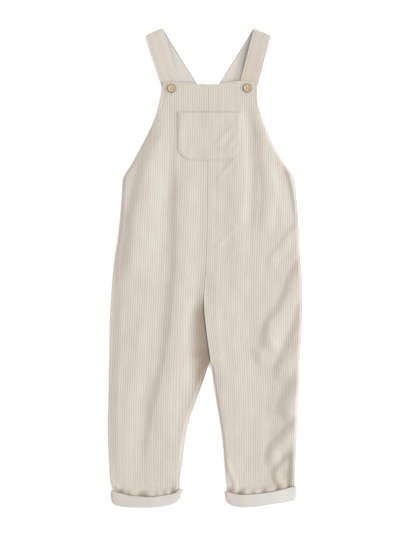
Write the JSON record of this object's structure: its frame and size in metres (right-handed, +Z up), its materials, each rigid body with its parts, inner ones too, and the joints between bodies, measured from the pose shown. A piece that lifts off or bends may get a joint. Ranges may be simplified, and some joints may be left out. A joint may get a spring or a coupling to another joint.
{
  "type": "toddler overalls",
  "caption": "Toddler bib overalls in cream corduroy with a bib pocket, buttoned shoulder straps and turned-up leg ends, laid flat on their back.",
  "frame": {"origin": "middle of the outline, on the surface that the overalls lie on", "axes": "+Y from the leg ends up to the shoulder straps, +Z up from the surface through the back to the front, +X to the right of someone who looks down at the front"},
  "size_m": [0.2836, 0.6999, 0.0092],
  "materials": {
    "corduroy": "cream wide-wale cotton corduroy, matt with a soft sheen along the wales",
    "corduroy_back": "plain wrong side of the corduroy, smooth, matt, a little lighter",
    "button": "pale wood, satin"
  },
  "bodies": {
    "root": {"front_left": "corduroy", "front_right": "corduroy", "back_left": "corduroy", "back_right": "corduroy", "pocket": "corduroy", "strap_left": "corduroy", "strap_right": "corduroy", "cuff_left": "corduroy_back", "cuff_right": "corduroy_back", "button_left": "button", "button_right": "button"}
  },
  "joints": []
}
